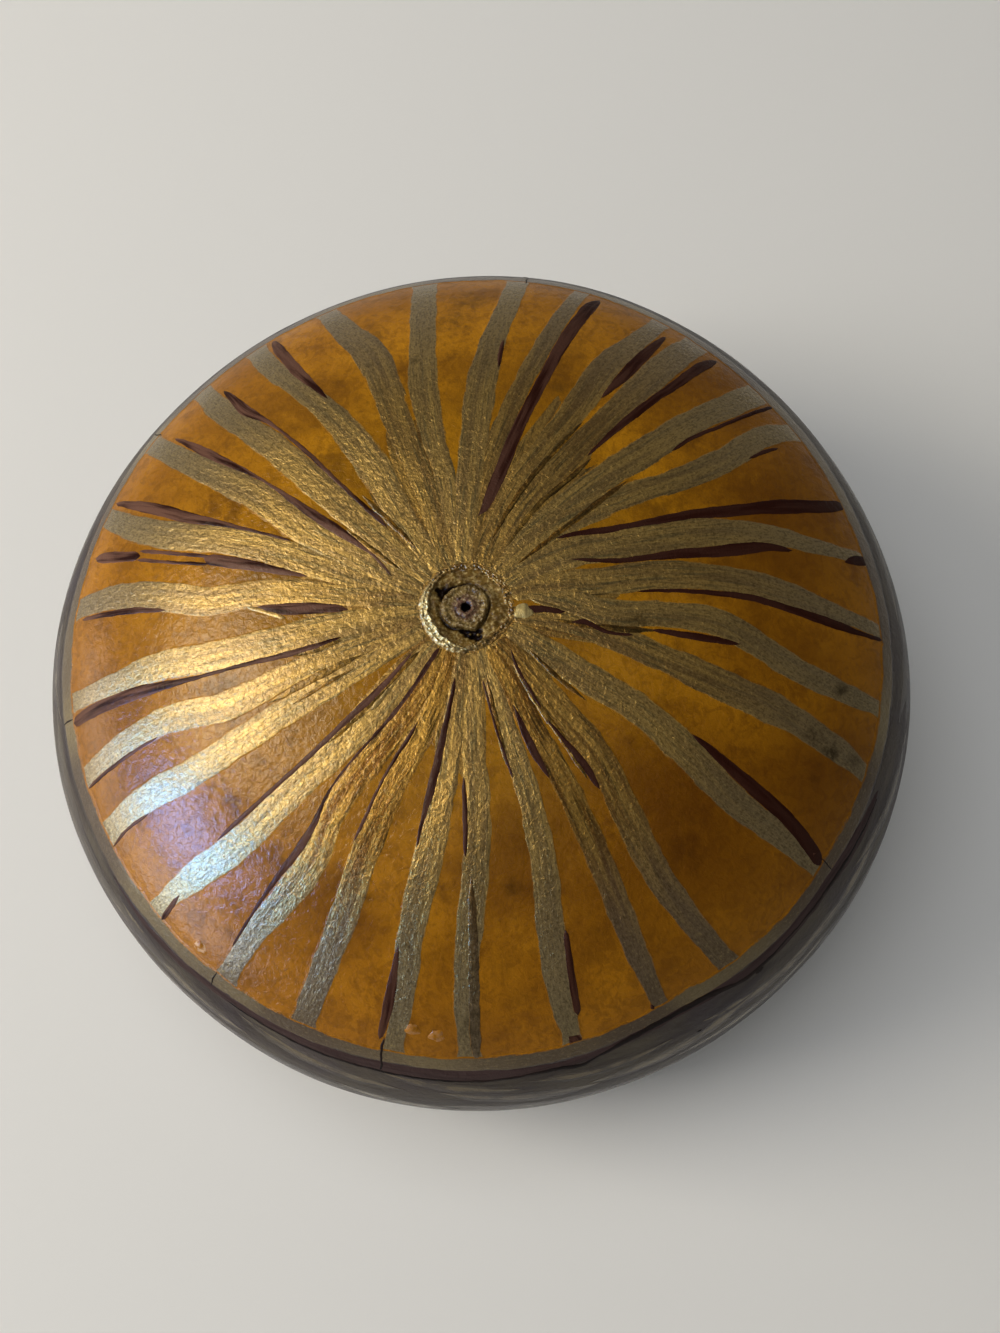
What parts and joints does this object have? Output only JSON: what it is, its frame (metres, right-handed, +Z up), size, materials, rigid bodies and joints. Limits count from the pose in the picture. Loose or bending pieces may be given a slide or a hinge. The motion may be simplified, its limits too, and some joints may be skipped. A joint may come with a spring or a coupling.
{
  "type": "gourd bowl",
  "caption": "Round bowl cut from one hard-shelled gourd, lying mouth down on its flat rim, with the raised blossom scar in the middle of its rounded, brush-striped base.",
  "frame": {"origin": "on the plane of the cut rim, under the middle of the bowl's widest outline; the bowl lies mouth down", "axes": "+Z up, out of the mouth plane towards the base with the blossom scar; +X to the right and +Y away from the viewer of the picture"},
  "size_m": [0.1502, 0.1508, 0.0674],
  "materials": {
    "gourd_rind": "glossy varnish over mottled orange-brown rind",
    "bronze_paint": "brushed-on metallic paint, satin, streaky",
    "dried_disc": "dry, matt, cracked",
    "style_wood": "dry end grain, rubbed with metallic paint",
    "maroon_ink": "dark maroon ink under varnish",
    "side_paint": "dark grey-brown paint with metallic swoops, satin varnish"
  },
  "bodies": {
    "root": {"bowl_shell": "gourd_rind", "scar_collar": "bronze_paint", "scar_disc": "dried_disc", "style_button": "style_wood"}
  },
  "joints": []
}
